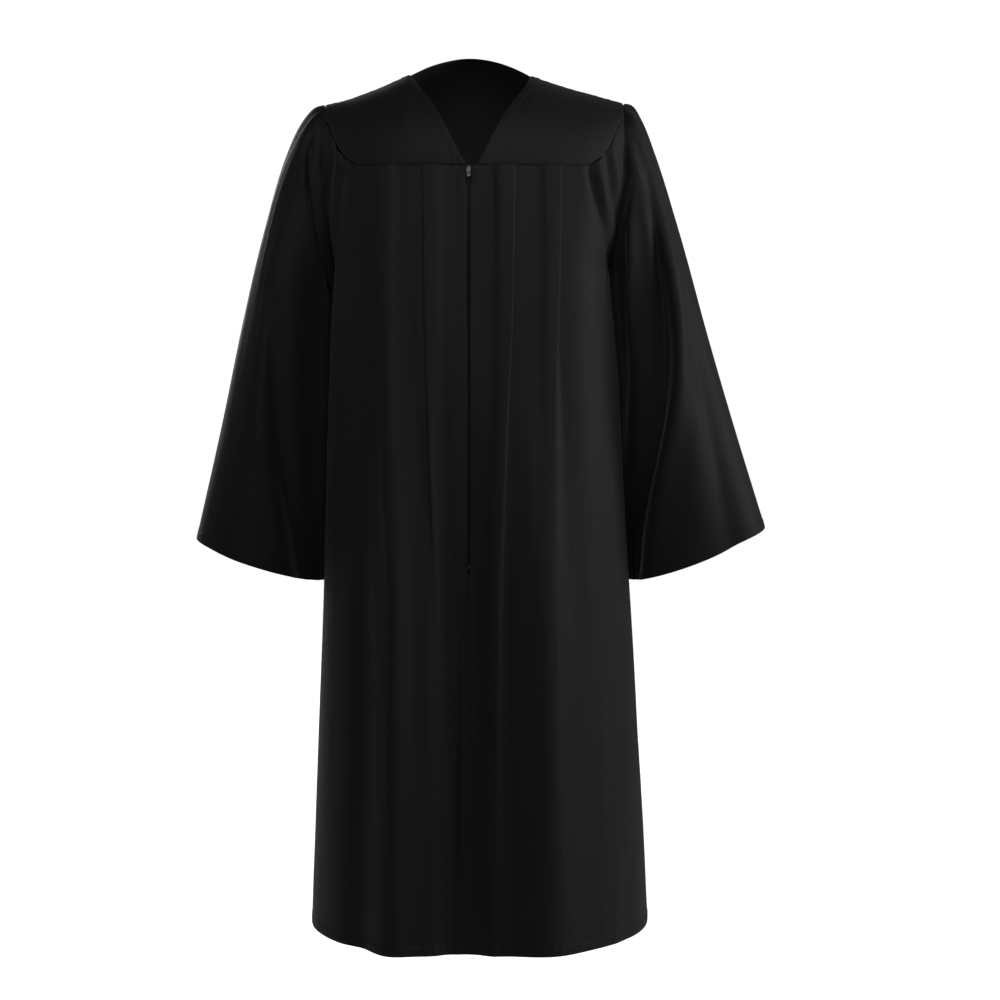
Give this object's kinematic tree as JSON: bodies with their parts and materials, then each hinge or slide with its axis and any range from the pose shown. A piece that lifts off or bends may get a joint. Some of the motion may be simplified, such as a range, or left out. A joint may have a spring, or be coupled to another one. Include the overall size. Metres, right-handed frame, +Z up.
{
  "type": "graduation gown",
  "caption": "Black full-length graduation gown with a pleated zip front, V neck, straight yoke and open bell sleeves, filled out as worn.",
  "frame": {"origin": "midway between the two neck points of the shoulder seams, where the wearer's shoulders hold the gown", "axes": "+Z up the wearer, -Y out of the front, +X to the wearer's left"},
  "size_m": [0.8289, 0.4221, 1.2639],
  "materials": {
    "gown_cloth": "matte black plain-weave polyester with a faint sheen",
    "zip_tape": "black woven zip tape with a nylon coil",
    "zip_metal": "dark enamelled die-cast metal, worn bright at the edges"
  },
  "bodies": {
    "gown": {"yoke_front_right": "gown_cloth", "yoke_front_left": "gown_cloth", "yoke_back": "gown_cloth", "front_right": "gown_cloth", "front_left": "gown_cloth", "back": "gown_cloth", "sleeve_right": "gown_cloth", "sleeve_left": "gown_cloth", "zip_tape_right": "zip_tape", "zip_tape_left": "zip_tape", "zip_chain": "zip_tape", "zip_slider": "zip_metal", "zip_bottom_stop": "zip_metal"},
    "pull_tab": {"zip_pull_tab": "zip_metal"}
  },
  "joints": [
    {"name": "pull_tab_swing", "type": "hinge", "parent": "gown", "child": "pull_tab", "pos_m": [0, -0.12816, -0.1375], "axis": [-1, 0, 0], "range_deg": [0, 150]}
  ]
}
